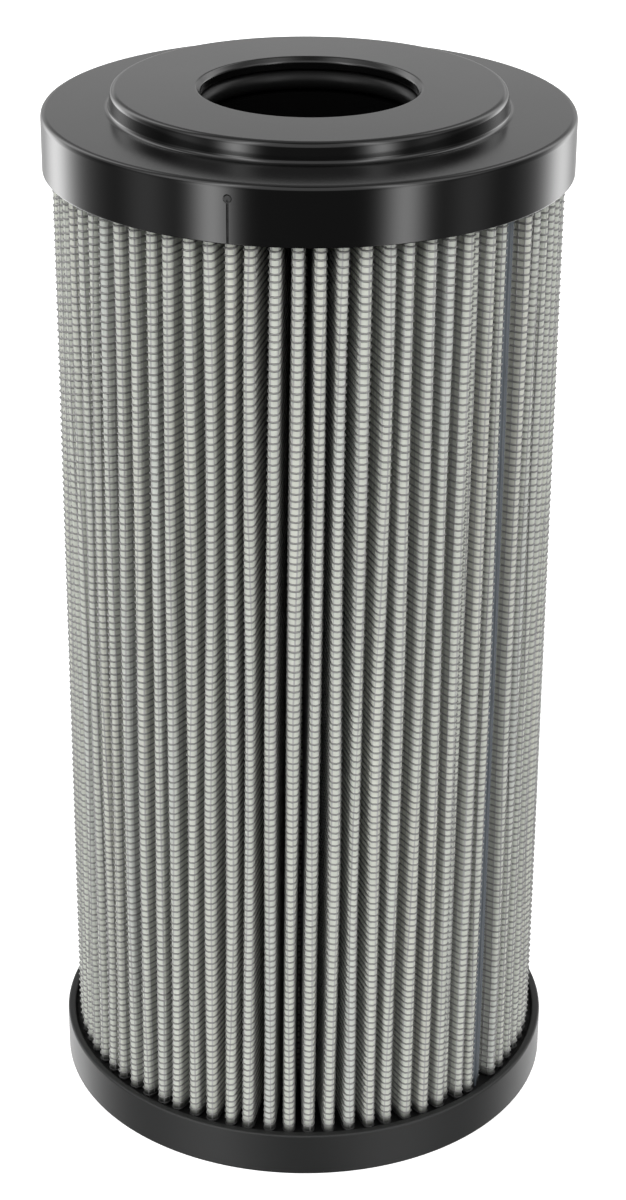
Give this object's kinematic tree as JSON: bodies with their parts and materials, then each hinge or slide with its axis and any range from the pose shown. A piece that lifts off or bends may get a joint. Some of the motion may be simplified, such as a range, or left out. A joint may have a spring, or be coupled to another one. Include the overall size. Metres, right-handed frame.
{
  "type": "filter element",
  "caption": "Pleated hydraulic filter element: white media behind woven wire mesh, an open sealed end cap with a stepped bore on top, a closed end cap below.",
  "frame": {"origin": "centre of the base of the bottom end cap", "axes": "+Z along the element's axis, towards the open end cap; the front is -Y, with the side seam 50 degrees to its right"},
  "size_m": [0.0918, 0.0918, 0.1899],
  "materials": {
    "gloss_cap": "gloss",
    "satin_cap": "satin",
    "seal_rubber": "satin",
    "core_plastic": "satin",
    "steel_mesh": "satin",
    "white_media": "matt",
    "seam_adhesive": "satin",
    "potting": "satin"
  },
  "bodies": {
    "root": {"top_end_cap": "gloss_cap", "bore_seal": "seal_rubber", "support_core": "core_plastic", "outer_support_mesh": "steel_mesh", "filter_media": "white_media", "side_seam": "seam_adhesive", "top_potting": "potting", "bottom_potting": "potting", "bottom_end_cap": "satin_cap"}
  },
  "joints": []
}
